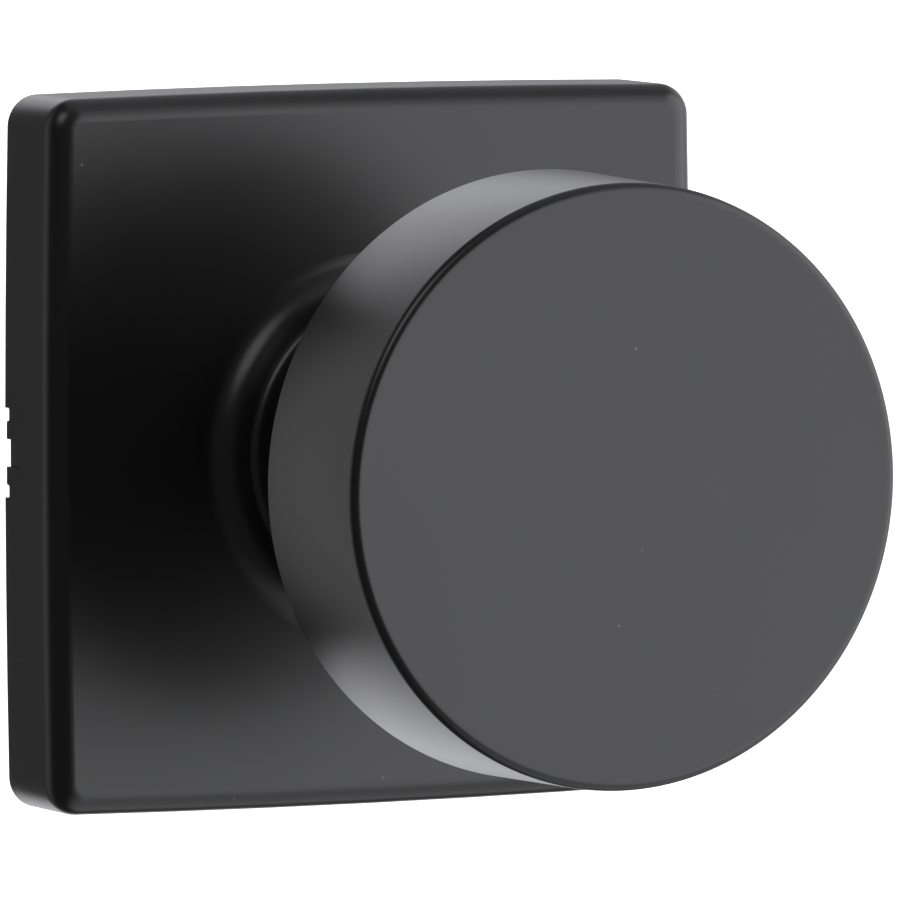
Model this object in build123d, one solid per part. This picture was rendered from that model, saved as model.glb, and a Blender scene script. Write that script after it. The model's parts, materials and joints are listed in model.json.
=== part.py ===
"""Inside half of a passage door knobset: a flat-faced round knob on a square rose.

Pieces are modelled lying on the door, in millimetres: x to the right, y up the door and
z out of the door towards the hand, with z = 0 on the door's face and the spindle on the
z axis. in_frame() then stands the whole set up, so that the knob points along -Y, +Z is
up and +Y goes into the door. Angles about the spindle are in degrees from the top.
"""

import os
from math import asin, cos, degrees, radians, sin, sqrt

from build123d import *

# ---- door preparation -------------------------------------------------------
DOOR_BORE_RADIUS = 27.0
BOLT_SPACING = 38.1

# ---- rose: square cover with bowed sides and a raised boss ------------------
ROSE_SIZE = 67.4
ROSE_DEPTH = 10.2
ROSE_WALL = 1.4
ROSE_SIDE_BOW = 0.38
ROSE_CORNER_RADIUS = 3.0
ROSE_EDGE_FILLET = 2.15
BOSS_HEIGHT = 4.9
BOSS_LIP = 2.7
BOSS_RIM_FILLET = 0.9
BOSS_BASE_FILLET = 3.2
BOSS_HOLE_CLEARANCE = 0.6
REST_POST_RADIUS = 2.2
REST_POST_INSET = 4.7
PRY_POCKET = (2.6, 3.0, 0.4)
PRY_RELIEF = (7.2, 0.35)
PRY_NICK = (1.2, 0.9)
PRY_CORNER = 0.22

# ---- knob head --------------------------------------------------------------
KNOB_RADIUS = 27.6
KNOB_REAR_FLARE = 0.35
KNOB_DEPTH = 17.05
KNOB_PROJECTION = 61.6
KNOB_EDGE_FILLET = 0.8
KNOB_REAR_FILLET = 0.4
SHELL_WALL = 1.4
SHELL_FACE_WALL = 1.6
SHELL_LIP = (0.8, 2.4)
BACK_SHOULDER = 0.3
BACK_THICKNESS = 3.0
BACK_COLLAR = (0.6, 3.0)
BACK_COLLAR_FILLET = 2.6

# ---- spindle and the tube round it ------------------------------------------
SPINDLE_SQUARE = 7.94
SPINDLE_CLEARANCE = 0.05
SPINDLE_REACH = 46.0
SPINDLE_DEPTH = 7.0
SPINDLE_CHAMFER = 0.8
SPINDLE_PIN_RADIUS = 1.25
SPINDLE_PIN_DEPTH = 3.5
SPINDLE_PIN_SETBACK = 0.1
SOCKET_WALL = 0.615
TUBE_WALL = 1.3
TUBE_REACH = 28.0
TUBE_TAIL = 2.5
KEY_WIDTH = 2.7
KEY_ROOT = 0.3
KEY_CLEARANCE = 0.05

# ---- sleeve, neck and the neck's flange inside the knob ---------------------
SLIDE_CLEARANCE = 0.06
INSERT_WALL = 1.74
INSERT_LEAD = 2.5
INSERT_FLANGE_THICKNESS = 1.2
INSERT_KEY_LENGTH = 6.0
NECK_WALL = 2.6
NECK_FLANGE = (5.0, 2.0)
NECK_SCREW_COUNT = 3
NECK_SCREW_OFFSET = 2.6
NECK_SCREW_RADIUS = 1.3
NECK_SCREW_BITE = 2.4
NECK_SCREW_HEAD = (2.3, 1.5)

# ---- knob catch -------------------------------------------------------------
CATCH_REACH = 15.0
CATCH_RADIUS = 2.15
CATCH_SHOULDER = (0.5, 1.15)
CATCH_BELOW_NECK = 0.6
CATCH_TIP_FILLET = 0.6
CATCH_SEAT_GAP = 0.08
CATCH_HOLE_CLEARANCE = 0.1
CATCH_GUIDE_LENGTH = 12.0
CATCH_BORE_DEPTH = 3.8
CATCH_SPRING_WIRE = 0.2
CATCH_SPRING_TURNS = 7

# ---- cam and return spring --------------------------------------------------
TURN_LIMIT = 60.0
CAM_HUB_WALL = 1.4
CAM_FLANGE_THICKNESS = 1.5
CAM_END_CLEARANCE = 0.2
CAM_LUG_CLEARANCE = 1.1
CAM_LUG_HALF_ANGLE = 10.0
STOP_CLEARANCE = 0.5
STOP_HALF_ANGLE = 4.0
STOP_OVERLAP = 1.5
SPRING_WIRE = 0.65
SPRING_TURNS = 4
SPRING_GAP = 0.06
SPRING_INNER_CLEARANCE = 0.45
SPRING_OUTER_CLEARANCE = 0.35
LEG_CLEARANCE = 0.03
FINGER_HALF_WIDTH = 1.6
FINGER_THICKNESS = 1.0
RIB_CLEARANCE = 0.25
RIB_DEPTH = 1.35

# ---- housing, cover and bushings --------------------------------------------
HOUSING_WALL = 1.3
HOUSING_DEPTH = 8.0
HOUSING_FLANGE = (25.0, 1.5)
HOUSING_FIT = 0.15
HOUSING_RIVET_CIRCLE = 21.0
HOUSING_RIVET_ANGLES = (45, 135, 225, 315)
HOUSING_RIVET_RADIUS = 1.5
HOUSING_RIVET_HEAD = (2.6, 1.2)
NOSE_WALL = 2.76
NOSE_SETBACK = 0.2
COVER_THICKNESS = 1.5
COVER_SCREW_ANGLES = (110, 180, 250)
COVER_SCREW_RADIUS = 0.8
COVER_SCREW_HEAD = (1.5, 0.9)
COVER_SCREW_FLOOR = 1.0
COVER_BOSS_RADIUS = 1.35
COVER_BOSS_ROOT = 0.2
BUSHING_CLEARANCE = 0.04
BUSHING_WALL = 1.6
BUSHING_FLANGE = (1.2, 1.0)
FRONT_BUSHING_LENGTH = 6.5

# ---- end play ---------------------------------------------------------------
END_PLAY = 0.1
WASHER_BORE_CLEARANCE = 0.15
THRUST_WASHER_THICKNESS = 1.0
THRUST_WASHER_SETBACK = 0.6
DISHED_WASHER = (2.2, 0.4, 0.4)
RING_WIDTH = 2.0
RING_THICKNESS = 1.0
RING_SPLIT = 3.0
GROOVE_DEPTH = 0.6

# ---- mounting plate, clips and bolts ----------------------------------------
PLATE_THICKNESS = 2.5
PLATE_CLEARANCE = 0.5
PLATE_CORNER_RADIUS = 2.0
PILOT_CLEARANCE = 0.5
PILOT_WALL = 2.0
PILOT_DEPTH = 3.5
BOLT_THREAD_RADIUS = 2.08
BOLT_SHANK_RADIUS = 2.3
BOLT_SHANK_BEYOND_PLATE = 1.5
BOLT_LENGTH = 25.4
BOLT_HEAD = (3.8, 2.0)
BOLT_SLOT = (1.2, 1.0)
BOLT_SLOT_TURNS = (35, -20)
BOLT_HOLE_CLEARANCE = 0.3
CLIP_PLACE = 16.0
CLIP_WIDTH = 7.0
CLIP_STRIP = 0.5
CLIP_FOOT = 9.0
CLIP_HEIGHT = 4.6
CLIP_KNEE = 2.8
CLIP_HEEL_SETBACK = 0.2
CLIP_CLEARANCE = 0.05
CLIP_RIVET_INSET = 6.0
CLIP_RIVET_RADIUS = 1.2
CLIP_RIVET_HEAD = (2.0, 0.8)

# ---- radii, from the spindle outwards ---------------------------------------
SOCKET_SQUARE = SPINDLE_SQUARE + 2 * SPINDLE_CLEARANCE
TUBE_BORE = SOCKET_SQUARE / sqrt(2) + SOCKET_WALL
TUBE_RADIUS = TUBE_BORE + TUBE_WALL
INSERT_BORE = TUBE_RADIUS + SLIDE_CLEARANCE
NECK_BORE = INSERT_BORE + INSERT_WALL
NECK_RADIUS = NECK_BORE + NECK_WALL
NECK_FLANGE_RADIUS = NECK_RADIUS + NECK_FLANGE[0]
INSERT_FLANGE_RADIUS = NECK_RADIUS + NECK_SCREW_OFFSET - NECK_SCREW_HEAD[0] - SLIDE_CLEARANCE
BOSS_HOLE_RADIUS = NECK_RADIUS + BOSS_HOLE_CLEARANCE
BOSS_RADIUS = BOSS_HOLE_RADIUS + BOSS_LIP
BUSHING_BORE = TUBE_RADIUS + BUSHING_CLEARANCE
BUSHING_RADIUS = BUSHING_BORE + BUSHING_WALL
NOSE_RADIUS = BUSHING_RADIUS + NOSE_WALL
WASHER_BORE = TUBE_RADIUS + WASHER_BORE_CLEARANCE
CAM_HUB_RADIUS = TUBE_RADIUS + CAM_HUB_WALL
SPRING_RADIUS = CAM_HUB_RADIUS + SPRING_INNER_CLEARANCE + SPRING_WIRE
FINGER_INNER = SPRING_RADIUS + SPRING_WIRE + SPRING_OUTER_CLEARANCE
FINGER_OUTER = FINGER_INNER + FINGER_THICKNESS
RIB_INNER = FINGER_OUTER + RIB_CLEARANCE
CHAMBER_RADIUS = RIB_INNER + RIB_DEPTH
HOUSING_RADIUS = CHAMBER_RADIUS + HOUSING_WALL
CAM_LUG_REACH = CHAMBER_RADIUS - CAM_LUG_CLEARANCE
CATCH_HOLE_RADIUS = CATCH_RADIUS + CATCH_HOLE_CLEARANCE
CATCH_SHOULDER_RADIUS = CATCH_RADIUS + CATCH_SHOULDER[0]
CATCH_BORE_RADIUS = CATCH_SHOULDER_RADIUS + CATCH_HOLE_CLEARANCE
SHELL_BORE = KNOB_RADIUS - SHELL_WALL
BACK_RADIUS = SHELL_BORE + BACK_SHOULDER
PILOT_RADIUS = DOOR_BORE_RADIUS - PILOT_CLEARANCE
BOLT_HOLE_RADIUS = BOLT_SHANK_RADIUS + BOLT_HOLE_CLEARANCE
PLATE_SIZE = ROSE_SIZE - 2 * (ROSE_WALL + ROSE_SIDE_BOW + PLATE_CLEARANCE)

# ---- heights above the door -------------------------------------------------
BOSS_TOP = ROSE_DEPTH + BOSS_HEIGHT
FLANGE_TOP = PLATE_THICKNESS + HOUSING_FLANGE[1]
NOSE_FRONT = ROSE_DEPTH - NOSE_SETBACK
WASHER_TOP = NOSE_FRONT + THRUST_WASHER_THICKNESS
NECK_END = WASHER_TOP + END_PLAY
TUBE_FRONT = NECK_END + TUBE_REACH
KEY_REAR = TUBE_FRONT - INSERT_KEY_LENGTH
CATCH_HEIGHT = NECK_END + CATCH_REACH
SPINDLE_FRONT = NECK_END + SPINDLE_DEPTH
SPINDLE_PIN_HEIGHT = SPINDLE_FRONT - SPINDLE_PIN_DEPTH
KNOB_REAR = KNOB_PROJECTION - KNOB_DEPTH
BACK_REAR = KNOB_REAR + SHELL_LIP[0]
BACK_FRONT = BACK_REAR + BACK_THICKNESS
NECK_FLANGE_TOP = BACK_FRONT + NECK_FLANGE[1]
HOUSING_REAR = -HOUSING_DEPTH
COVER_REAR = HOUSING_REAR - COVER_THICKNESS
RING_FRONT = COVER_REAR - END_PLAY - DISHED_WASHER[1] - DISHED_WASHER[2]
RING_REAR = RING_FRONT - RING_THICKNESS
TUBE_REAR = RING_REAR - TUBE_TAIL
CAM_FRONT = PLATE_THICKNESS - CAM_END_CLEARANCE
CAM_SHOULDER = CAM_FRONT - CAM_FLANGE_THICKNESS
CAM_REAR = HOUSING_REAR + BUSHING_FLANGE[1] + CAM_END_CLEARANCE
COVER_BOSS_TOP = CAM_SHOULDER - CAM_END_CLEARANCE


# ---- shared shapes ----------------------------------------------------------
def cylinder(radius, bottom, top):
    """A solid cylinder about the spindle's line."""
    return Pos(0, 0, bottom) * extrude(Circle(radius), top - bottom)


def ring(outer, inner, bottom, top):
    """A plain ring about the spindle's line."""
    return Pos(0, 0, bottom) * extrude(Circle(outer) - Circle(inner), top - bottom)


def block(x, y, z):
    """A box given by its (low, high) along each axis."""
    size = [high - low for low, high in (x, y, z)]
    return Pos(x[0], y[0], z[0]) * Box(*size, align=(Align.MIN, Align.MIN, Align.MIN))


def around(radius, angle):
    """The point at this radius and angle, counted from the top."""
    return (-radius * sin(radians(angle)), radius * cos(radians(angle)))


def places_round(radius, angles):
    """The (x, y, turn) places at these angles on a circle."""
    return [(*around(radius, angle), 0) for angle in angles]


def cross_rod(radius, height, low, high, axis=Axis.X):
    """A rod across the spindle's line at a height, from low to high along x or y."""
    rod = Pos(0, 0, low) * extrude(Circle(radius), high - low)
    turn = Rot(0, 90, 0) if axis == Axis.X else Rot(-90, 0, 0)
    return Pos(0, 0, height) * turn * rod


def segment(inner, outer, angle, half_angle, bottom, top):
    """A piece of a ring, centred on an angle."""
    start, middle, end = angle - half_angle, angle, angle + half_angle
    outline = ThreePointArc(around(inner, start), around(inner, middle), around(inner, end))
    outline += Line(around(inner, end), around(outer, end))
    outline += ThreePointArc(around(outer, end), around(outer, middle), around(outer, start))
    outline += Line(around(outer, start), around(inner, start))
    return Pos(0, 0, bottom) * extrude(make_face(outline), top - bottom)


def headed_pin(radius, head, bottom, seat):
    """A pin with a rounded head (radius, height) on top of its seat."""
    head_radius, head_height = head
    cap = extrude(Circle(head_radius), head_height)
    cap = fillet(cap.edges().sort_by(Axis.Z)[-1], head_height * 0.45)
    return cylinder(radius, bottom, seat) + Pos(0, 0, seat) * cap


def bowed_square(size, bow, corner):
    """A square outline whose sides bow outwards to the full size at their middles."""
    half = size / 2 - bow
    outline = Curve()
    for turn in range(4):
        side = ThreePointArc((half, -half), (size / 2, 0), (half, half))
        outline += Rot(0, 0, 90 * turn) * side
    face = make_face(outline)
    return fillet(face.vertices(), corner)


def copies(piece, places):
    """The same piece at several (x, y, turn) places, as separate solids."""
    return [Pos(x, y, 0) * Rot(0, 0, turn) * piece for x, y, turn in places]


# ---- rose -------------------------------------------------------------------
def rose():
    """Hollow square cover with a boss, four rest posts inside and a pry pocket at its rear edge."""
    outer = extrude(bowed_square(ROSE_SIZE, ROSE_SIDE_BOW, ROSE_CORNER_RADIUS), ROSE_DEPTH)
    outer = fillet(outer.edges().group_by(Axis.Z)[-1], ROSE_EDGE_FILLET)
    outer += cylinder(BOSS_RADIUS, ROSE_DEPTH - ROSE_WALL, BOSS_TOP)
    outer = fillet(round_edges(outer, BOSS_RADIUS, ROSE_DEPTH), BOSS_BASE_FILLET)
    outer = fillet(round_edges(outer, BOSS_RADIUS, BOSS_TOP), BOSS_RIM_FILLET)
    inside = bowed_square(
        ROSE_SIZE - 2 * ROSE_WALL, ROSE_SIDE_BOW, ROSE_CORNER_RADIUS - ROSE_WALL
    )
    hollow = extrude(inside, ROSE_DEPTH - ROSE_WALL)
    hollow = fillet(hollow.edges().group_by(Axis.Z)[-1], ROSE_EDGE_FILLET - ROSE_WALL)
    body = outer - hollow
    body -= cylinder(BOSS_RADIUS - ROSE_WALL, 0, BOSS_TOP - ROSE_WALL)
    body -= cylinder(BOSS_HOLE_RADIUS, 0, BOSS_TOP)
    post_place = PLATE_SIZE / 2 - REST_POST_INSET
    for x in (-post_place, post_place):
        for y in (-post_place, post_place):
            post = cylinder(REST_POST_RADIUS, PLATE_THICKNESS, ROSE_DEPTH - ROSE_WALL / 2)
            body += Pos(x, y, 0) * post
    return body - pry_cut()


def round_edges(body, radius, height):
    """The circular edges of a given radius at a given height."""
    edges = body.edges().filter_by(GeomType.CIRCLE)
    return [
        edge
        for edge in edges
        if abs(edge.radius - radius) < 1e-4 and abs(edge.arc_center.Z - height) < 1e-4
    ]


def pry_cut():
    """A pocket in the rose's left wall, open at the door, between two nicks in the edge."""
    relief_width, relief_height = PRY_RELIEF
    nick_width, nick_height = PRY_NICK
    outline = Rectangle(relief_width, 2 * relief_height)
    for side in (-1, 1):
        nick = Rectangle(nick_width, 2 * nick_height)
        outline += Pos(side * relief_width / 2, 0) * nick
    outline = fillet(outline.vertices(), PRY_CORNER)
    outside = -ROSE_SIZE / 2 - 1
    cut = Pos(outside, 0, 0) * extrude(Plane.YZ * outline, ROSE_WALL + 2)
    width, height, depth = PRY_POCKET
    return cut + block((outside, -ROSE_SIZE / 2 + depth), (-width / 2, width / 2), (-1, height))


# ---- knob head --------------------------------------------------------------
def knob_shell():
    """Flat-faced cup whose rear lip is turned in over the back disc."""
    rear_radius = KNOB_RADIUS + KNOB_REAR_FLARE
    rear = Pos(0, 0, KNOB_REAR) * Circle(rear_radius)
    front = Pos(0, 0, KNOB_PROJECTION) * Circle(KNOB_RADIUS)
    outer = loft([rear, front])
    outer = fillet(outer.edges().group_by(Axis.Z)[-1], KNOB_EDGE_FILLET)
    outer = fillet(outer.edges().group_by(Axis.Z)[0], KNOB_REAR_FILLET)
    lip_height, lip_width = SHELL_LIP
    body = outer - cylinder(SHELL_BORE, BACK_REAR, KNOB_PROJECTION - SHELL_FACE_WALL)
    body -= cylinder(BACK_RADIUS, BACK_REAR, BACK_FRONT)
    return body - cylinder(rear_radius - lip_width, KNOB_REAR, BACK_REAR)


def knob_back():
    """Disc that closes the shell, with a filleted collar round the neck."""
    wall, height = BACK_COLLAR
    collar_radius = NECK_RADIUS + wall
    body = cylinder(BACK_RADIUS, BACK_REAR, BACK_FRONT)
    body += cylinder(collar_radius, BACK_REAR - height, BACK_REAR)
    body = fillet(round_edges(body, collar_radius, BACK_REAR), BACK_COLLAR_FILLET)
    body -= cylinder(NECK_RADIUS, BACK_REAR - height, BACK_FRONT)
    hole = cylinder(NECK_SCREW_RADIUS, BACK_FRONT - NECK_SCREW_BITE, BACK_FRONT)
    return body - copies(hole, neck_screw_places())


def neck_screw_places():
    """Where the screws through the neck's flange go, as (x, y, turn)."""
    step = 360 / NECK_SCREW_COUNT
    angles = [step * i for i in range(NECK_SCREW_COUNT)]
    return places_round(NECK_RADIUS + NECK_SCREW_OFFSET, angles)


def knob_shank():
    """The neck: a tube with a flange inside the knob and a hole for the catch."""
    body = ring(NECK_RADIUS, NECK_BORE, NECK_END, NECK_FLANGE_TOP)
    body += ring(NECK_FLANGE_RADIUS, NECK_BORE, BACK_FRONT, NECK_FLANGE_TOP)
    hole = cylinder(NECK_SCREW_RADIUS, BACK_FRONT, NECK_FLANGE_TOP)
    return body - copies(hole, neck_screw_places()) - catch_hole()


def shank_screws():
    """Screws that hold the neck's flange to the back disc."""
    tip = BACK_FRONT - NECK_SCREW_BITE
    screw = headed_pin(NECK_SCREW_RADIUS, NECK_SCREW_HEAD, tip, NECK_FLANGE_TOP)
    return copies(screw, neck_screw_places())


def knob_insert():
    """Steel sleeve in the neck, with two keys for the tube's end slots."""
    flange_top = NECK_FLANGE_TOP + INSERT_FLANGE_THICKNESS
    body = ring(NECK_BORE, INSERT_BORE, NECK_END + INSERT_LEAD, NECK_FLANGE_TOP)
    body += ring(INSERT_FLANGE_RADIUS, INSERT_BORE, NECK_FLANGE_TOP, flange_top)
    half = KEY_WIDTH / 2
    for side in (-1, 1):
        span = sorted((side * TUBE_BORE, side * (INSERT_BORE + KEY_ROOT)))
        body += block(span, (-half, half), (KEY_REAR + KEY_CLEARANCE, TUBE_FRONT))
    return body - catch_hole()


def catch_hole():
    """Hole from below, through whatever is round the tube, for the catch."""
    return cross_rod(CATCH_HOLE_RADIUS, CATCH_HEIGHT, -NECK_RADIUS - 1, 0, Axis.Y)


# ---- drive tube and spindle -------------------------------------------------
def drive_tube():
    """Tube that joins knob, cam and spindle, slotted at both ends."""
    body = ring(TUBE_RADIUS, TUBE_BORE, TUBE_REAR, TUBE_FRONT)
    half_key = KEY_WIDTH / 2 + KEY_CLEARANCE
    across = (-TUBE_RADIUS - 1, TUBE_RADIUS + 1)
    body -= block(across, (-half_key, half_key), (KEY_REAR, TUBE_FRONT + 1))
    body -= block((-half_key, half_key), (0, TUBE_RADIUS + 1), (TUBE_REAR - 1, CAM_FRONT))
    body -= ring(TUBE_RADIUS + 1, TUBE_RADIUS - GROOVE_DEPTH, RING_REAR, RING_FRONT)
    body -= cross_rod(SPINDLE_PIN_RADIUS, SPINDLE_PIN_HEIGHT, *across)
    return body - catch_hole()


def spindle_socket():
    """Plug in the tube with a square bore for the spindle."""
    bore = extrude(Rectangle(SOCKET_SQUARE, SOCKET_SQUARE), SPINDLE_FRONT - TUBE_REAR)
    body = cylinder(TUBE_BORE, TUBE_REAR, SPINDLE_FRONT) - Pos(0, 0, TUBE_REAR) * bore
    return body - cross_rod(SPINDLE_PIN_RADIUS, SPINDLE_PIN_HEIGHT, -TUBE_RADIUS, TUBE_RADIUS)


def spindle():
    """Square bar that turns the latch."""
    bar = extrude(Rectangle(SPINDLE_SQUARE, SPINDLE_SQUARE), SPINDLE_FRONT + SPINDLE_REACH)
    bar = Pos(0, 0, -SPINDLE_REACH) * bar
    bar = chamfer(bar.edges().group_by(Axis.Z)[0], SPINDLE_CHAMFER)
    return bar - cross_rod(SPINDLE_PIN_RADIUS, SPINDLE_PIN_HEIGHT, -TUBE_RADIUS, TUBE_RADIUS)


def spindle_pin():
    """Pin across tube, socket and spindle, flush with the tube."""
    length = TUBE_RADIUS - SPINDLE_PIN_SETBACK
    return cross_rod(SPINDLE_PIN_RADIUS, SPINDLE_PIN_HEIGHT, -length, length)


# ---- knob catch -------------------------------------------------------------
def catch_guide():
    """Plug in the tube, bored from below for the catch and its spring."""
    half = CATCH_GUIDE_LENGTH / 2
    body = cylinder(TUBE_BORE, CATCH_HEIGHT - half, CATCH_HEIGHT + half)
    return body - cross_rod(CATCH_BORE_RADIUS, CATCH_HEIGHT, -TUBE_RADIUS, CATCH_BORE_DEPTH, Axis.Y)


def catch_seat():
    """How far below the axis the shoulder's outer face may be, inside the round tube."""
    return TUBE_BORE * cos(asin(CATCH_SHOULDER_RADIUS / TUBE_BORE)) - CATCH_SEAT_GAP


def knob_catch():
    """Shouldered pin that locks the knob to the tube."""
    seat = catch_seat()
    tip = NECK_RADIUS - CATCH_BELOW_NECK
    shoulder = extrude(Circle(CATCH_SHOULDER_RADIUS), CATCH_SHOULDER[1])
    stem = extrude(Circle(CATCH_RADIUS), CATCH_SHOULDER[1] + tip - seat)
    stem = fillet(stem.edges().group_by(Axis.Z)[-1], CATCH_TIP_FILLET)
    pin = Pos(0, 0, seat - CATCH_SHOULDER[1]) * (shoulder + stem)
    return Pos(0, 0, CATCH_HEIGHT) * Rot(90, 0, 0) * pin


def coil(radius, wire, bottom, top, turns):
    """A helical wire whose surface touches bottom and top."""
    height = top - bottom - 2 * wire
    path = Helix(pitch=height / turns, height=height, radius=radius)
    section = Plane(origin=path @ 0, z_dir=path % 0) * Circle(wire)
    return Pos(0, 0, bottom + wire) * sweep(section, path)


def catch_spring():
    """Coil spring between the guide's blind end and the catch."""
    radius = CATCH_SHOULDER_RADIUS - 2 * CATCH_SPRING_WIRE
    top = catch_seat() - CATCH_SHOULDER[1]
    spring = coil(radius, CATCH_SPRING_WIRE, -CATCH_BORE_DEPTH, top, CATCH_SPRING_TURNS)
    return Pos(0, 0, CATCH_HEIGHT) * Rot(90, 0, 0) * spring


# ---- housing, cam and return spring -----------------------------------------
def spring_housing():
    """Cup with a flange on the plate, a nose for the front bushing, a spring rib and stops."""
    flange_radius = HOUSING_FLANGE[0]
    body = cylinder(HOUSING_RADIUS, HOUSING_REAR, FLANGE_TOP)
    body += cylinder(flange_radius, PLATE_THICKNESS, FLANGE_TOP)
    body += cylinder(NOSE_RADIUS, PLATE_THICKNESS, NOSE_FRONT)
    body -= cylinder(CHAMBER_RADIUS, HOUSING_REAR, PLATE_THICKNESS)
    body -= cylinder(BUSHING_RADIUS, PLATE_THICKNESS, NOSE_FRONT)
    root = CHAMBER_RADIUS + HOUSING_WALL / 2
    rib_side = (-FINGER_HALF_WIDTH, FINGER_HALF_WIDTH)
    body += block(rib_side, (RIB_INNER, root), (HOUSING_REAR, PLATE_THICKNESS))
    stop = 180 - CAM_LUG_HALF_ANGLE - TURN_LIMIT - STOP_CLEARANCE - STOP_HALF_ANGLE
    inner = CAM_LUG_REACH - STOP_OVERLAP
    for angle in (-stop, stop):
        body += segment(inner, root, angle, STOP_HALF_ANGLE, CAM_SHOULDER, PLATE_THICKNESS)
    screw_post = cylinder(COVER_BOSS_RADIUS, HOUSING_REAR, COVER_BOSS_TOP)
    screw_hole = cylinder(COVER_SCREW_RADIUS, HOUSING_REAR, COVER_BOSS_TOP - COVER_SCREW_FLOOR)
    rivet_hole = cylinder(HOUSING_RIVET_RADIUS, PLATE_THICKNESS, FLANGE_TOP)
    body += copies(screw_post, cover_screw_places())
    body -= copies(screw_hole, cover_screw_places())
    body -= copies(rivet_hole, housing_rivet_places())
    return body - bolt_holes(PLATE_THICKNESS, FLANGE_TOP)


def cover_screw_places():
    """Where the cover's screws go, just inside the chamber's wall."""
    reach = CHAMBER_RADIUS - COVER_BOSS_RADIUS + COVER_BOSS_ROOT
    return places_round(reach, COVER_SCREW_ANGLES)


def housing_rivet_places():
    """Where the housing is riveted to the plate."""
    return places_round(HOUSING_RIVET_CIRCLE, HOUSING_RIVET_ANGLES)


def housing_cover():
    """Disc that closes the housing on the door side."""
    body = ring(HOUSING_RADIUS, BUSHING_RADIUS, COVER_REAR, HOUSING_REAR)
    hole = cylinder(COVER_SCREW_RADIUS, COVER_REAR, HOUSING_REAR)
    return body - copies(hole, cover_screw_places())


def cover_screws():
    """Screws that hold the cover, with their heads towards the door's middle."""
    tip = COVER_BOSS_TOP - COVER_SCREW_FLOOR
    screw = headed_pin(COVER_SCREW_RADIUS, COVER_SCREW_HEAD, -tip, -COVER_REAR)
    return copies(Rot(180, 0, 0) * screw, cover_screw_places())


def housing_rivets():
    """Rivets through the housing's flange and the plate."""
    rivet = headed_pin(HOUSING_RIVET_RADIUS, HOUSING_RIVET_HEAD, 0, FLANGE_TOP)
    return copies(rivet, housing_rivet_places())


def front_bushing():
    """Bearing in the housing's nose."""
    return ring(BUSHING_RADIUS, BUSHING_BORE, NOSE_FRONT - FRONT_BUSHING_LENGTH, NOSE_FRONT)


def rear_bushing():
    """Flanged bearing in the housing's cover."""
    flange_width, flange_thickness = BUSHING_FLANGE
    flange_radius = BUSHING_RADIUS + flange_width
    flange_front = HOUSING_REAR + flange_thickness
    body = ring(BUSHING_RADIUS, BUSHING_BORE, COVER_REAR, HOUSING_REAR)
    return body + ring(flange_radius, BUSHING_BORE, HOUSING_REAR, flange_front)


def driver_cam():
    """Hub keyed to the tube, with a finger for the spring and a lug for the stops."""
    body = cylinder(CAM_HUB_RADIUS, CAM_REAR, CAM_FRONT)
    body += segment(TUBE_RADIUS, CAM_LUG_REACH, 180, CAM_LUG_HALF_ANGLE, CAM_SHOULDER, CAM_FRONT)
    side = (-FINGER_HALF_WIDTH, FINGER_HALF_WIDTH)
    body += block(side, (0, FINGER_OUTER), (CAM_SHOULDER, CAM_FRONT))
    body += block(side, (FINGER_INNER, FINGER_OUTER), (spring_rear(), CAM_FRONT))
    body -= cylinder(TUBE_RADIUS, CAM_REAR, CAM_FRONT)
    key_side = (-KEY_WIDTH / 2, KEY_WIDTH / 2)
    key_span = (TUBE_BORE + KEY_CLEARANCE, TUBE_RADIUS + KEY_ROOT)
    return body + block(key_side, key_span, (CAM_REAR, CAM_FRONT))


def spring_pitch():
    """Rise of the return spring for each turn."""
    return 2 * SPRING_WIRE + SPRING_GAP


def spring_lead():
    """Angle from the top to each leg, which touches the side of finger and rib."""
    offset = FINGER_HALF_WIDTH + SPRING_WIRE + LEG_CLEARANCE
    return degrees(asin(offset / SPRING_RADIUS))


def spring_rear():
    """Lowest point of the return spring."""
    height = spring_pitch() * (SPRING_TURNS - spring_lead() / 180)
    return CAM_SHOULDER - CAM_END_CLEARANCE - height - 2 * SPRING_WIRE


def return_spring():
    """Close-wound torsion spring whose two legs hold finger and rib between them."""
    lead = spring_lead()
    turns = SPRING_TURNS - lead / 180
    height = spring_pitch() * turns
    path = Helix(pitch=spring_pitch(), height=height, radius=SPRING_RADIUS)
    body = sweep(Plane(origin=path @ 0, z_dir=path % 0) * Circle(SPRING_WIRE), path)
    body = Rot(0, 0, 90 + lead) * body
    leg_side = SPRING_RADIUS * sin(radians(lead))
    leg_start = SPRING_RADIUS * cos(radians(lead))
    leg_end = CHAMBER_RADIUS - SPRING_WIRE
    leg = cross_rod(SPRING_WIRE, 0, leg_start, leg_end, Axis.Y)
    for side, rise in ((-1, 0), (1, height)):
        place = Pos(side * leg_side, 0, rise)
        body += place * leg
        body += place * Pos(0, leg_start, 0) * Sphere(SPRING_WIRE)
    return Pos(0, 0, spring_rear() + SPRING_WIRE) * body


# ---- end play ---------------------------------------------------------------
def thrust_washer():
    """Plain washer between the housing's nose and the neck's end."""
    return ring(NECK_RADIUS - THRUST_WASHER_SETBACK, WASHER_BORE, NOSE_FRONT, WASHER_TOP)


def spring_washer():
    """Dished washer between the cover and the retaining ring."""
    width, thickness, dish = DISHED_WASHER
    outer = TUBE_RADIUS + width
    outline = Polyline(
        (WASHER_BORE, COVER_REAR - dish),
        (outer, COVER_REAR),
        (outer, COVER_REAR - thickness),
        (WASHER_BORE, COVER_REAR - dish - thickness),
        close=True,
    )
    return revolve(Plane.XZ * make_face(outline), Axis.Z)


def retaining_ring():
    """Split ring in the tube's groove."""
    inner = TUBE_RADIUS - GROOVE_DEPTH
    outer = TUBE_RADIUS + RING_WIDTH
    body = ring(outer, inner, RING_REAR, RING_FRONT)
    half = RING_SPLIT / 2
    return body - block((-half, half), (-outer, 0), (RING_REAR, RING_FRONT))


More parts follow.
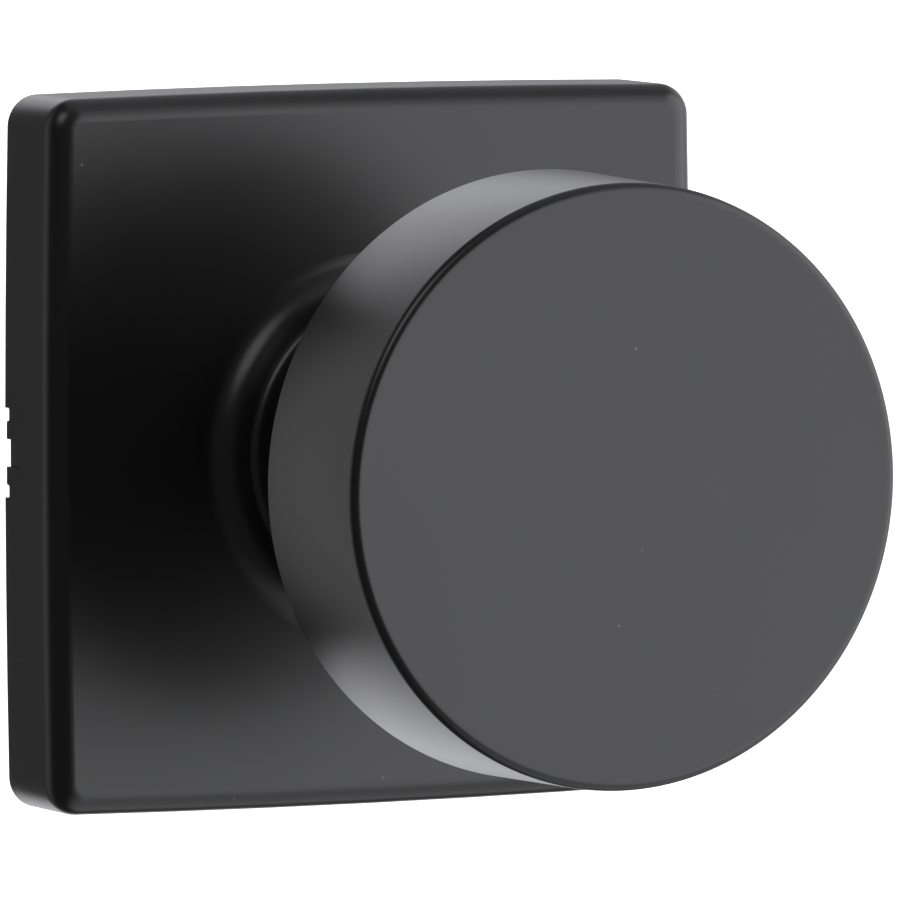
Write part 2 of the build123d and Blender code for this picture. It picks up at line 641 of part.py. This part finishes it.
# ---- mounting plate, clips and bolts ----------------------------------------
def mounting_plate():
    """Square plate on the door, with a ring that fits the door's bore."""
    outline = RectangleRounded(PLATE_SIZE, PLATE_SIZE, PLATE_CORNER_RADIUS)
    body = extrude(outline, PLATE_THICKNESS)
    body += ring(PILOT_RADIUS, PILOT_RADIUS - PILOT_WALL, -PILOT_DEPTH, 0)
    body -= cylinder(HOUSING_RADIUS + HOUSING_FIT, 0, PLATE_THICKNESS)
    body -= copies(cylinder(HOUSING_RIVET_RADIUS, 0, PLATE_THICKNESS), housing_rivet_places())
    body -= copies(cylinder(CLIP_RIVET_RADIUS, 0, PLATE_THICKNESS), clip_rivet_places())
    return body - bolt_holes(0, PLATE_THICKNESS)


def bolt_holes(bottom, top):
    """Holes for the two bolts that run through the door."""
    return copies(cylinder(BOLT_HOLE_RADIUS, bottom, top), bolt_places())


def bolt_places():
    """Where the bolts go, each with the turn that its slot stopped at."""
    left, right = BOLT_SLOT_TURNS
    return [(-BOLT_SPACING / 2, 0, left), (BOLT_SPACING / 2, 0, right)]


def mounting_screws():
    """Slotted bolts that run through the door to the far half."""
    head_radius, head_height = BOLT_HEAD
    slot_width, slot_depth = BOLT_SLOT
    head = extrude(Circle(head_radius), head_height)
    head = fillet(head.edges().group_by(Axis.Z)[-1], head_height * 0.6)
    head_top = FLANGE_TOP + head_height
    shank_end = -BOLT_SHANK_BEYOND_PLATE
    bolt = Pos(0, 0, FLANGE_TOP) * head
    bolt += cylinder(BOLT_SHANK_RADIUS, shank_end, FLANGE_TOP)
    bolt += cylinder(BOLT_THREAD_RADIUS, FLANGE_TOP - BOLT_LENGTH, shank_end)
    slot_side = (-slot_width / 2, slot_width / 2)
    bolt -= block((-head_radius, head_radius), slot_side, (head_top - slot_depth, head_top))
    return copies(bolt, bolt_places())


def inner_wall_at(x):
    """Where the rose's inner wall is, this far along a side from its middle."""
    half_chord = ROSE_SIZE / 2 - ROSE_WALL - ROSE_SIDE_BOW
    return ROSE_SIZE / 2 - ROSE_WALL - ROSE_SIDE_BOW * (x / half_chord) ** 2


def rose_clip():
    """A spring strip on the plate's upper edge, bent up to press on the rose's wall."""
    wall = inner_wall_at(CLIP_PLACE + CLIP_WIDTH / 2) - CLIP_CLEARANCE
    heel = PLATE_SIZE / 2 - CLIP_HEEL_SETBACK
    floor = PLATE_THICKNESS
    knee = floor + CLIP_KNEE
    tip = floor + CLIP_HEIGHT
    outline = Polyline(
        (heel - CLIP_FOOT, floor),
        (heel, floor),
        (wall, knee),
        (heel - CLIP_STRIP, tip),
        (heel - 2 * CLIP_STRIP, tip - CLIP_STRIP / 2),
        (wall - 1.2 * CLIP_STRIP, knee),
        (heel - CLIP_STRIP, floor + CLIP_STRIP),
        (heel - CLIP_FOOT, floor + CLIP_STRIP),
        close=True,
    )
    strip = extrude(Plane.YZ * make_face(outline), CLIP_WIDTH / 2, both=True)
    rivet_hole = cylinder(CLIP_RIVET_RADIUS, floor, tip)
    return strip - Pos(0, PLATE_SIZE / 2 - CLIP_RIVET_INSET, 0) * rivet_hole


def rose_clips():
    """Two clips on the upper edge and two on the lower."""
    places = [(side * CLIP_PLACE, 0, 0) for side in (-1, 1)]
    upper = copies(rose_clip(), places)
    return upper + [Rot(0, 0, 180) * clip for clip in upper]


def clip_rivet_places():
    """Where the clips are riveted to the plate."""
    reach = PLATE_SIZE / 2 - CLIP_RIVET_INSET
    return [(x, y, 0) for x in (-CLIP_PLACE, CLIP_PLACE) for y in (-reach, reach)]


def clip_rivets():
    """One rivet for each clip."""
    rivet = headed_pin(CLIP_RIVET_RADIUS, CLIP_RIVET_HEAD, 0, PLATE_THICKNESS + CLIP_STRIP)
    return copies(rivet, clip_rivet_places())


# ---- build ------------------------------------------------------------------
PIECES = [
    rose, mounting_plate, rose_clips, clip_rivets, mounting_screws,
    spring_housing, housing_rivets, housing_cover, cover_screws,
    front_bushing, rear_bushing, return_spring, thrust_washer, spring_washer,
    retaining_ring, driver_cam, drive_tube, spindle_socket, spindle, spindle_pin,
    knob_shell, knob_back, knob_shank, shank_screws, knob_insert,
    catch_guide, catch_spring, knob_catch,
]


def in_frame(shape):
    """Stands a piece up: out of the door becomes -Y and up the door becomes +Z."""
    return Rot(90, 0, 0) * shape


def build():
    """Writes each piece to its own STEP file."""
    os.makedirs("parts", exist_ok=True)
    for piece in PIECES:
        made = piece()
        solids = made if isinstance(made, list) else made.solids()
        placed = [in_frame(solid) for solid in solids]
        shape = placed[0] if len(placed) == 1 else Compound(children=placed)
        export_step(shape, f"parts/{piece.__name__}.step")


build()
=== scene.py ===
import json
from math import cos, pi, radians, sin

import bpy
from mathutils import Matrix, Vector


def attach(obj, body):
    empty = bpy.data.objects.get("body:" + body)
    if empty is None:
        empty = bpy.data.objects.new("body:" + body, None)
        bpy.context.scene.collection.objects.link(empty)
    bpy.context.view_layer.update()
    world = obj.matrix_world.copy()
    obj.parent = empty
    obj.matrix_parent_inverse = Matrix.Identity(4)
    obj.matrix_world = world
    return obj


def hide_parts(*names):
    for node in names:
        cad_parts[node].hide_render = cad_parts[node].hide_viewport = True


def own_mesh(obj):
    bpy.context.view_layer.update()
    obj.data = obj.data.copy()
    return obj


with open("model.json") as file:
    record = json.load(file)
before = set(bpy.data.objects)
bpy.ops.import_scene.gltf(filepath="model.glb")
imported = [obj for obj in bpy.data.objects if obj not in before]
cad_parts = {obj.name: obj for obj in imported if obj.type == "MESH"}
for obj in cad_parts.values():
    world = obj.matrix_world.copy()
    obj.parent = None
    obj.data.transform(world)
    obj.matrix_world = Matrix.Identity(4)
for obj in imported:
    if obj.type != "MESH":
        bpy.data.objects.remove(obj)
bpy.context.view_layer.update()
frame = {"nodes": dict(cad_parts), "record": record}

MM = 0.001

# ---- studio -----------------------------------------------------------------
VIEW_AZIMUTH = -26.27
VIEW_ELEVATION = 4.533
VIEW_DISTANCE = 1.2689
VIEW_CENTRE = Vector((0.000244, -0.025, 0.000812))
LENS = 547.2
FLOOR_DROP = 0.30
FLOOR_SIZE = 60
FLOOR_GLOW = 0.9
FLAG_INNER = 34.6
FLAG_OUTER = 46.0
FLAG_GLOW = 0.16
FLAG_SETBACK = 6.0
AIR_GLOW = 0.10
AIR_COLOUR = (0.985, 0.99, 1.02, 1)
WHITE = (1, 1, 1, 1)

# Each soft light's azimuth and elevation as seen from the object, the angles from its
# middle at which it starts and ends to fade, all in degrees, and its strength.
SOFTBOXES = {
    "front_right": (53, -1, 26, 44, 2.75),
    "front_right_high": (60, 12, 26, 40, 2.5),
    "below_right": (55, -50, 28, 50, 1.1),
    "above_right": (85, 52, 35, 60, 0.5),
    "right": (95, 0, 35, 55, 1.05),
    "behind_right": (146, 0, 14, 30, 0.48),
    "behind": (169, 24, 6, 26, 1.42),
    "behind_low": (169, -26, 6, 26, 1.48),
    "behind_left": (-150, 0, 34, 58, 0.62),
    "upper_left": (-50, 42, 9, 22, 2.0),
}


def looking(azimuth, elevation):
    """The unit vector from the object towards a viewer at these angles."""
    a, e = radians(azimuth), radians(elevation)
    return Vector((sin(a) * cos(e), -cos(a) * cos(e), sin(e)))


def make_camera():
    """The camera, aimed at the middle of the view."""
    back = VIEW_DISTANCE * looking(VIEW_AZIMUTH, VIEW_ELEVATION)
    bpy.ops.object.camera_add(location=VIEW_CENTRE + back)
    camera = bpy.context.object
    camera.name = "studio_camera"
    camera.data.lens = LENS
    camera.data.clip_end = 100
    camera.rotation_euler = (VIEW_CENTRE - camera.location).to_track_quat("-Z", "Y").to_euler()
    bpy.context.scene.camera = camera


def stage_material(name, grey, roughness, specular, glow):
    """A plain material for what stands round the object: a grey that also shines a little."""
    material = bpy.data.materials.new(name)
    material.use_nodes = True
    shader = material.node_tree.nodes["Principled BSDF"]
    shader.inputs["Base Color"].default_value = (grey, grey, grey, 1)
    shader.inputs["Roughness"].default_value = roughness
    shader.inputs["Specular IOR Level"].default_value = specular
    shader.inputs["Emission Color"].default_value = WHITE
    shader.inputs["Emission Strength"].default_value = glow
    return material


def make_floor():
    """A white floor that only the camera sees, so it throws no light up on the object."""
    bpy.ops.mesh.primitive_plane_add(size=FLOOR_SIZE, location=(0, 0, -FLOOR_DROP))
    floor = bpy.context.object
    floor.name = "studio_floor"
    floor.visible_glossy = False
    floor.visible_diffuse = False
    floor.data.materials.append(stage_material("studio_white", 0.9, 0.9, 0.1, FLOOR_GLOW))


def make_flag():
    """A grey card behind the rose's left edge that keeps the rear lights off its side wall."""
    bpy.ops.object.select_all(action="DESELECT")
    middle = -(FLAG_INNER + FLAG_OUTER) / 2
    bpy.ops.mesh.primitive_plane_add(
        size=MM, location=(middle * MM, FLAG_SETBACK * MM, 0), rotation=(pi / 2, 0, 0)
    )
    flag = bpy.context.object
    flag.name = "studio_flag"
    flag.scale = (FLAG_OUTER - FLAG_INNER, 2 * FLAG_OUTER, 1)
    flag.visible_camera = False
    flag.data.materials.append(stage_material("studio_grey_card", 0.01, 1.0, 0.0, FLAG_GLOW))


def math_node(tree, operation, a, b):
    """A sum, product or the like of two values, each a number or another node's output."""
    node = tree.nodes.new("ShaderNodeMath")
    node.operation = operation
    for socket, value in zip(node.inputs, (a, b)):
        if isinstance(value, (int, float)):
            socket.default_value = value
        else:
            tree.links.new(value, socket)
    return node.outputs[0]


def softbox_glow(tree, place, azimuth, elevation, inner, outer, strength):
    """A patch of the air that shines fully within one angle and fades out at the other."""
    facing = tree.nodes.new("ShaderNodeVectorMath")
    facing.operation = "DOT_PRODUCT"
    tree.links.new(place, facing.inputs[0])
    facing.inputs[1].default_value = looking(azimuth, elevation)
    fade = tree.nodes.new("ShaderNodeMapRange")
    fade.interpolation_type = "SMOOTHSTEP"
    fade.inputs["From Min"].default_value = cos(radians(outer))
    fade.inputs["From Max"].default_value = cos(radians(inner))
    fade.inputs["To Max"].default_value = strength
    tree.links.new(facing.outputs["Value"], fade.inputs["Value"])
    return fade.outputs["Result"]


def make_air():
    """Dim air with large soft lights round the object, and plain white behind it."""
    world = bpy.data.worlds.new("studio_air")
    world.use_nodes = True
    tree = world.node_tree
    light = tree.nodes["Background"]
    place = tree.nodes.new("ShaderNodeTexCoord").outputs["Generated"]
    glow = AIR_GLOW
    for settings in SOFTBOXES.values():
        glow = math_node(tree, "MAXIMUM", glow, softbox_glow(tree, place, *settings))
    tree.links.new(glow, light.inputs["Strength"])
    light.inputs["Color"].default_value = AIR_COLOUR
    white = tree.nodes.new("ShaderNodeBackground")
    white.inputs["Color"].default_value = WHITE
    white.inputs["Strength"].default_value = 1.0
    seen = tree.nodes.new("ShaderNodeLightPath")
    mix = tree.nodes.new("ShaderNodeMixShader")
    tree.links.new(seen.outputs["Is Camera Ray"], mix.inputs[0])
    tree.links.new(light.outputs[0], mix.inputs[1])
    tree.links.new(white.outputs[0], mix.inputs[2])
    tree.links.new(mix.outputs[0], tree.nodes["World Output"].inputs["Surface"])
    bpy.context.scene.world = world


# ---- finishes ---------------------------------------------------------------
def new_finish(name, metallic=0.0):
    """A material with its shader, and the place on the piece that patterns read."""
    material = bpy.data.materials.new(name)
    material.use_nodes = True
    tree = material.node_tree
    shader = tree.nodes["Principled BSDF"]
    shader.inputs["Metallic"].default_value = metallic
    place = tree.nodes.new("ShaderNodeTexCoord").outputs["Object"]
    return material, tree, shader, place


def feed(tree, shader, colour, roughness, normal):
    """Links the patterns to the shader."""
    tree.links.new(colour, shader.inputs["Base Color"])
    tree.links.new(roughness, shader.inputs["Roughness"])
    tree.links.new(normal, shader.inputs["Normal"])


def noise(tree, place, scale, detail=2.0, roughness=0.5):
    """A cloudy pattern of this many waves per metre."""
    node = tree.nodes.new("ShaderNodeTexNoise")
    node.inputs["Scale"].default_value = scale
    node.inputs["Detail"].default_value = detail
    node.inputs["Roughness"].default_value = roughness
    tree.links.new(place, node.inputs["Vector"])
    return node.outputs["Fac"]


def cells(tree, place, scale):
    """The distance to the nearest of many scattered points."""
    node = tree.nodes.new("ShaderNodeTexVoronoi")
    node.inputs["Scale"].default_value = scale
    tree.links.new(place, node.inputs["Vector"])
    return node.outputs["Distance"]


def stretched(tree, place, along):
    """The place, squeezed so that a pattern turns into streaks."""
    node = tree.nodes.new("ShaderNodeMapping")
    node.inputs["Scale"].default_value = along
    tree.links.new(place, node.inputs["Vector"])
    return node.outputs["Vector"]


def turning_marks(tree, place, scale):
    """Fine uneven rings round the spindle's axis, as a lathe leaves them."""
    flat = stretched(tree, place, (1, 0, 1))
    radius = tree.nodes.new("ShaderNodeVectorMath")
    radius.operation = "LENGTH"
    tree.links.new(flat, radius.inputs[0])
    rings = tree.nodes.new("ShaderNodeTexNoise")
    rings.noise_dimensions = "1D"
    rings.inputs["Scale"].default_value = scale
    rings.inputs["Detail"].default_value = 2
    tree.links.new(radius.outputs["Value"], rings.inputs["W"])
    return rings.outputs["Fac"]


def spread(tree, value, low, high, start=0.3, end=0.7):
    """Maps a pattern's value to a range."""
    node = tree.nodes.new("ShaderNodeMapRange")
    node.inputs["From Min"].default_value = start
    node.inputs["From Max"].default_value = end
    node.inputs["To Min"].default_value = low
    node.inputs["To Max"].default_value = high
    tree.links.new(value, node.inputs["Value"])
    return node.outputs["Result"]


def colours(tree, value, low, high, start=0.3, end=0.7):
    """A blend of two colours by a pattern's value."""
    node = tree.nodes.new("ShaderNodeValToRGB")
    node.color_ramp.elements[0].position = start
    node.color_ramp.elements[0].color = (*low, 1)
    node.color_ramp.elements[1].position = end
    node.color_ramp.elements[1].color = (*high, 1)
    tree.links.new(value, node.inputs["Fac"])
    return node.outputs["Color"]


def mixed(tree, share, under, over):
    """One colour laid over another by a pattern's value."""
    node = tree.nodes.new("ShaderNodeMix")
    node.data_type = "RGBA"
    tree.links.new(share, node.inputs["Factor"])
    tree.links.new(under, node.inputs[6])
    tree.links.new(over, node.inputs[7])
    return node.outputs[2]


def bump(tree, height, strength, depth, under=None):
    """Fine relief, of a depth in metres, over any coarser relief under it."""
    node = tree.nodes.new("ShaderNodeBump")
    node.inputs["Strength"].default_value = strength
    node.inputs["Distance"].default_value = depth
    tree.links.new(height, node.inputs["Height"])
    if under is not None:
        tree.links.new(under, node.inputs["Normal"])
    return node.outputs["Normal"]


def matte_black_coat():
    """Powder coat: a fine satin grain, slow changes of tone and a few specks of dust."""
    material, tree, shader, place = new_finish("matte_black_coat")
    tone = noise(tree, place, 40, 3)
    coat = colours(tree, tone, (0.0080, 0.0080, 0.0085), (0.0105, 0.0105, 0.0110))
    dust = spread(tree, cells(tree, place, 330), 1.0, 0.0, 0.030, 0.055)
    rare = spread(tree, noise(tree, place, 150, 1), 0.0, 1.0, 0.55, 0.59)
    specks = math_node(tree, "MULTIPLY", dust, rare)
    pale = colours(tree, tone, (0.10, 0.10, 0.10), (0.16, 0.16, 0.16))
    peel = bump(tree, noise(tree, place, 420, 2), 0.10, 0.00002)
    grain = bump(tree, noise(tree, place, 3200, 2), 0.10, 0.00001, peel)
    feed(tree, shader, mixed(tree, specks, coat, pale), spread(tree, tone, 0.285, 0.315), grain)
    return material


def zinc_plate():
    """Bright zinc on rolled steel: faint streaks, a blue and straw cast, duller patches."""
    material, tree, shader, place = new_finish("zinc_plated_steel", metallic=1.0)
    cast = colours(tree, noise(tree, place, 220, 4), (0.55, 0.57, 0.60), (0.63, 0.63, 0.61))
    streaks = noise(tree, stretched(tree, place, (180, 2600, 2600)), 1, 3)
    dull = spread(tree, noise(tree, place, 260, 4, 0.6), 0.27, 0.37)
    rough = math_node(tree, "ADD", dull, spread(tree, streaks, -0.03, 0.05))
    feed(tree, shader, cast, rough, bump(tree, streaks, 0.18, 0.00001))
    return material


def turned_steel():
    """Plain steel from the lathe, lightly oiled and a little stained."""
    material, tree, shader, place = new_finish("turned_steel", metallic=1.0)
    stain = noise(tree, place, 140, 4, 0.6)
    metal = colours(tree, stain, (0.30, 0.29, 0.28), (0.52, 0.52, 0.53))
    marks = turning_marks(tree, place, 9000)
    feed(tree, shader, metal, spread(tree, marks, 0.22, 0.38), bump(tree, marks, 0.35, 0.00001))
    return material


def tempered_spring_steel():
    """Dark blued spring steel with straw patches."""
    material, tree, shader, place = new_finish("tempered_spring_steel", metallic=1.0)
    heat = colours(tree, noise(tree, place, 160, 3), (0.12, 0.13, 0.17), (0.30, 0.26, 0.20))
    drawn = noise(tree, place, 1500, 2)
    feed(tree, shader, heat, spread(tree, drawn, 0.28, 0.42), bump(tree, drawn, 0.12, 0.00001))
    return material


def cast_zinc_alloy():
    """Die cast zinc: grey skin with flow marks and a fine orange peel."""
    material, tree, shader, place = new_finish("cast_zinc_alloy", metallic=1.0)
    flow = noise(tree, stretched(tree, place, (1, 0.35, 1)), 130, 5, 0.6)
    metal = colours(tree, flow, (0.36, 0.37, 0.39), (0.56, 0.57, 0.58))
    skin = bump(tree, noise(tree, place, 1400, 3), 0.30, 0.00003)
    feed(tree, shader, metal, spread(tree, flow, 0.56, 0.42), skin)
    return material


def sintered_bronze():
    """Pressed bronze with open pores, coloured darker in the pores."""
    material, tree, shader, place = new_finish("sintered_bronze", metallic=1.0)
    patch = noise(tree, place, 300, 4)
    metal = colours(tree, patch, (0.40, 0.24, 0.10), (0.58, 0.39, 0.19))
    pores = spread(tree, cells(tree, place, 4200), 1.0, 0.0, 0.12, 0.30)
    # The pores are coloured nearly black, so the bronze is darker in its pores.
    pore_darkening = colours(tree, patch, (0.05, 0.03, 0.015), (0.09, 0.05, 0.02))
    surface = mixed(tree, pores, metal, pore_darkening)
    pits = bump(tree, pores, -0.30, 0.00003)
    feed(tree, shader, surface, spread(tree, patch, 0.36, 0.50), pits)
    return material


def natural_nylon():
    """Milky moulded nylon."""
    material, tree, shader, place = new_finish("natural_nylon")
    milk = noise(tree, place, 200, 3)
    cream = colours(tree, milk, (0.66, 0.63, 0.55), (0.76, 0.74, 0.67))
    grain = bump(tree, noise(tree, place, 1800, 2), 0.10, 0.00001)
    feed(tree, shader, cream, spread(tree, milk, 0.42, 0.52), grain)
    shader.inputs["Subsurface Weight"].default_value = 0.2
    shader.inputs["Subsurface Radius"].default_value = (0.002, 0.0016, 0.0012)
    return material


FINISHES = {
    "matte_black": matte_black_coat(),
    "zinc_plated_steel": zinc_plate(),
    "plain_steel": turned_steel(),
    "spring_steel": tempered_spring_steel(),
    "cast_zinc": cast_zinc_alloy(),
    "bronze": sintered_bronze(),
    "nylon": natural_nylon(),
}
SLOTS = {part["node"]: part["material_slot"] for part in frame["record"]["subparts"]}


def finish_nodes():
    """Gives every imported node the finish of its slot."""
    for name, slot in SLOTS.items():
        materials = frame["nodes"][name].data.materials
        for i in range(len(materials)):
            materials[i] = FINISHES[slot]


# ---- mesh work --------------------------------------------------------------
MERGE_DISTANCE = 0.000002
SMOOTH_ANGLE = 35


def arc(centre, radius, start, end, steps=6):
    """Points of an arc in a (radius, height) outline, angles from outwards to upwards."""
    turns = [radians(start + (end - start) * i / steps) for i in range(steps + 1)]
    return [(centre[0] + radius * cos(t), centre[1] + radius * sin(t)) for t in turns]


def turned(name, outline, segments):
    """A piece turned round the spindle's axis, with a flat disc at each end. Its outline's
    (radius, height) points are in millimetres, height out of the door, and run over the
    outside and back through the inside."""
    bpy.ops.object.select_all(action="DESELECT")
    radius, height = outline[0]
    bpy.ops.mesh.primitive_circle_add(
        vertices=segments,
        radius=radius * MM,
        location=(0, -height * MM, 0),
        rotation=(pi / 2, 0, 0),
        fill_type="NGON",
    )
    bpy.ops.object.transform_apply()
    piece = bpy.context.object
    piece.name = name
    bpy.ops.object.mode_set(mode="EDIT")
    bpy.ops.mesh.select_mode(type="EDGE")
    bpy.ops.mesh.select_all(action="SELECT")
    for place in outline[1:]:
        step = (0, (height - place[1]) * MM, 0)
        bpy.ops.mesh.extrude_edges_move(TRANSFORM_OT_translate={"value": step})
        size = place[0] / radius
        bpy.ops.transform.resize(value=(size, 1, size), center_override=(0, 0, 0))
        radius, height = place
    bpy.ops.mesh.edge_face_add()
    close_up()
    return piece


def close_up():
    """Merges doubles, points the faces outwards and leaves edit mode."""
    bpy.ops.mesh.select_all(action="SELECT")
    bpy.ops.mesh.remove_doubles(threshold=MERGE_DISTANCE)
    bpy.ops.mesh.normals_make_consistent(inside=False)
    bpy.ops.object.mode_set(mode="OBJECT")


def wound(name, corners, axis, turns, pitch, steps):
    """A closed section wound round an axis through the origin, with both ends filled. The
    corners are in metres, and the pitch in millimetres."""
    bpy.ops.object.select_all(action="DESELECT")
    bpy.ops.mesh.primitive_circle_add(vertices=len(corners), radius=MM, fill_type="NOTHING")
    piece = bpy.context.object
    piece.name = name
    for vertex, corner in zip(piece.data.vertices, corners):
        vertex.co = corner
    screw = piece.modifiers.new("winding", "SCREW")
    screw.axis = axis
    screw.iterations = turns
    screw.screw_offset = pitch * MM
    screw.steps = screw.render_steps = steps
    bpy.ops.object.modifier_apply(modifier="winding")
    bpy.ops.object.mode_set(mode="EDIT")
    bpy.ops.mesh.select_all(action="DESELECT")
    bpy.ops.mesh.select_mode(type="EDGE")
    bpy.ops.mesh.select_non_manifold(extend=False)
    bpy.ops.mesh.fill_holes(sides=len(corners))
    close_up()
    return piece


def finish(piece, node, body):
    """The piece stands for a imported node: its slot's finish, its body, its shading."""
    piece.data.materials.clear()
    piece.data.materials.append(FINISHES[SLOTS[node]])
    bpy.ops.object.select_all(action="DESELECT")
    piece.select_set(True)
    bpy.context.view_layer.objects.active = piece
    bpy.ops.object.shade_smooth_by_angle(angle=radians(SMOOTH_ANGLE))
    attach(piece, body)
    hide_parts(node)


# ---- knob -------------------------------------------------------------------
KNOB_RADIUS = 27.6
KNOB_REAR_FLARE = 0.35
KNOB_REAR = 44.55
KNOB_FRONT = 61.6
KNOB_EDGE = 0.8
KNOB_REAR_EDGE = 0.4
KNOB_FACE_INSET = 4.0
KNOB_EDGE_MARGIN = 0.2
KNOB_SEGMENTS = 256
SHELL_LIP = (0.8, 2.4)
SHELL_SEAT = (26.5, 3.0)
SHELL_BORE = 26.2
SHELL_FACE_WALL = 1.6


def knob_shell():
    """The flat-faced cup, with its lip turned in over the back disc."""
    lip_height, lip_width = SHELL_LIP
    seat_radius, seat_height = SHELL_SEAT
    rear_radius = KNOB_RADIUS + KNOB_REAR_FLARE
    seat = KNOB_REAR + lip_height
    front_edge = (KNOB_RADIUS - KNOB_EDGE, KNOB_FRONT - KNOB_EDGE)
    rear_edge = (rear_radius - KNOB_REAR_EDGE, KNOB_REAR + KNOB_REAR_EDGE)
    outline = [
        (KNOB_RADIUS - KNOB_FACE_INSET, KNOB_FRONT),
        (KNOB_RADIUS - KNOB_EDGE - KNOB_EDGE_MARGIN, KNOB_FRONT),
    ]
    outline += arc(front_edge, KNOB_EDGE, 90, 0, 12)
    outline += arc(rear_edge, KNOB_REAR_EDGE, 0, -90, 8)
    outline += [
        (rear_radius - lip_width, KNOB_REAR),
        (rear_radius - lip_width, seat),
        (seat_radius, seat),
        (seat_radius, seat + seat_height),
        (SHELL_BORE, seat + seat_height),
        (SHELL_BORE, KNOB_FRONT - SHELL_FACE_WALL),
    ]
    finish(turned("knob_shell_turned", outline, KNOB_SEGMENTS), "knob_shell", "knob")


# ---- bolts ------------------------------------------------------------------
BOLT_PLACE = 19.05
BOLT_SEAT = 4.0
BOLT_TIP = -21.4
BOLT_HEAD = (3.8, 2.0)
BOLT_HEAD_ROUND = 1.2
BOLT_SHANK = (2.3, -1.5)
BOLT_SHANK_CHAMFER = 0.25
BOLT_POINT = 0.5
BOLT_CREST = 2.08
BOLT_ROOT = 1.72
BOLT_PITCH = 0.794
BOLT_RUN_OUT = 0.4
BOLT_THREAD_SINK = 0.08
BOLT_THREAD_HALF = 0.36
BOLT_THREAD_STEPS = 28
BOLT_SEGMENTS = 48
BOLT_SLOT = (1.2, 1.0)
BOLT_SLOT_TURNS = (35, -20)


def bolt_blank():
    """The bolt without its thread: a pan head, a plain shank and a core with a pointed tip."""
    head_radius, head_height = BOLT_HEAD
    shank_radius, shank_end = BOLT_SHANK
    top = BOLT_SEAT + head_height
    corner = (head_radius - BOLT_HEAD_ROUND, top - BOLT_HEAD_ROUND)
    outline = [(head_radius - BOLT_HEAD_ROUND, top)]
    outline += arc(corner, BOLT_HEAD_ROUND, 90, 0, 8)[1:]
    outline += [
        (head_radius, BOLT_SEAT),
        (shank_radius, BOLT_SEAT),
        (shank_radius, shank_end + BOLT_SHANK_CHAMFER),
        (shank_radius - BOLT_SHANK_CHAMFER, shank_end),
        (BOLT_ROOT, shank_end),
        (BOLT_ROOT, BOLT_TIP + BOLT_POINT),
        (BOLT_ROOT - BOLT_POINT, BOLT_TIP),
    ]
    return turned("mounting_bolt", outline, BOLT_SEGMENTS)


def bolt_thread():
    """A closed three-sided ridge wound down the core."""
    foot = BOLT_ROOT - BOLT_THREAD_SINK
    threaded = BOLT_SHANK[1] - BOLT_TIP - BOLT_POINT - BOLT_RUN_OUT
    turns = int(threaded / BOLT_PITCH)
    start = BOLT_TIP + BOLT_POINT + turns * BOLT_PITCH
    ridge = (
        (foot, start + BOLT_THREAD_HALF),
        (BOLT_CREST, start),
        (foot, start - BOLT_THREAD_HALF),
    )
    corners = [(radius * MM, -height * MM, 0) for radius, height in ridge]
    return wound("bolt_thread", corners, "Y", turns, BOLT_PITCH, BOLT_THREAD_STEPS)


def cut_slot(bolt, turn):
    """The screwdriver slot across a bolt's head."""
    width, depth = BOLT_SLOT
    head_radius, head_height = BOLT_HEAD
    top = BOLT_SEAT + head_height
    bpy.ops.object.select_all(action="DESELECT")
    bpy.ops.mesh.primitive_cube_add(
        size=1, location=(0, -top * MM, 0), rotation=(0, radians(turn), 0)
    )
    cutter = bpy.context.object
    cutter.scale = (3 * head_radius * MM, 2 * depth * MM, width * MM)
    slot = bolt.modifiers.new("slot", "BOOLEAN")
    slot.object = cutter
    slot.solver = "EXACT"
    bpy.context.view_layer.objects.active = bolt
    bpy.ops.object.modifier_apply(modifier="slot")
    bpy.data.objects.remove(cutter)


def join(pieces, name):
    """Several meshes as one piece."""
    bpy.ops.object.select_all(action="DESELECT")
    for piece in pieces:
        piece.select_set(True)
    bpy.context.view_layer.objects.active = pieces[0]
    bpy.ops.object.join()
    pieces[0].name = name
    return pieces[0]


def mounting_bolts():
    """Two slotted bolts with a cut thread, through the door to the far half."""
    bolts = []
    for side, turn in zip((-1, 1), BOLT_SLOT_TURNS):
        blank = bolt_blank()
        cut_slot(blank, turn)
        bolt = join([blank, bolt_thread()], "mounting_bolt")
        bolt.data.transform(Matrix.Translation((side * BOLT_PLACE * MM, 0, 0)))
        bolts.append(bolt)
    finish(join(bolts, "mounting_bolts"), "mounting_screws", "base")


# ---- catch spring -----------------------------------------------------------
CATCH_DEPTH = 26.1
CATCH_SPRING_ENDS = (-4.48, 3.8)
CATCH_SPRING_RADIUS = 2.25
CATCH_SPRING_WIRE = 0.2
CATCH_SPRING_TURNS = 7
CATCH_SPRING_SIDES = 10
CATCH_SPRING_STEPS = 32


def catch_spring():
    """A coil in the catch's guide, towards its blind end."""
    bottom, top = CATCH_SPRING_ENDS
    corners = []
    for i in range(CATCH_SPRING_SIDES):
        turn = 2 * pi * i / CATCH_SPRING_SIDES
        across = CATCH_SPRING_RADIUS - CATCH_SPRING_WIRE * sin(turn)
        up = bottom + CATCH_SPRING_WIRE + CATCH_SPRING_WIRE * cos(turn)
        corners.append((across * MM, 0, up * MM))
    pitch = (top - bottom - 2 * CATCH_SPRING_WIRE) / CATCH_SPRING_TURNS
    coil = wound(
        "catch_spring_coil", corners, "Z", CATCH_SPRING_TURNS, pitch, CATCH_SPRING_STEPS
    )
    coil.data.transform(Matrix.Translation((0, -CATCH_DEPTH * MM, 0)))
    finish(coil, "catch_spring", "knob")
    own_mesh(coil)


# ---- the scene --------------------------------------------------------------
bpy.context.scene.view_settings.view_transform = "Standard"
make_camera()
make_air()
make_floor()
make_flag()
finish_nodes()
knob_shell()
mounting_bolts()
catch_spring()
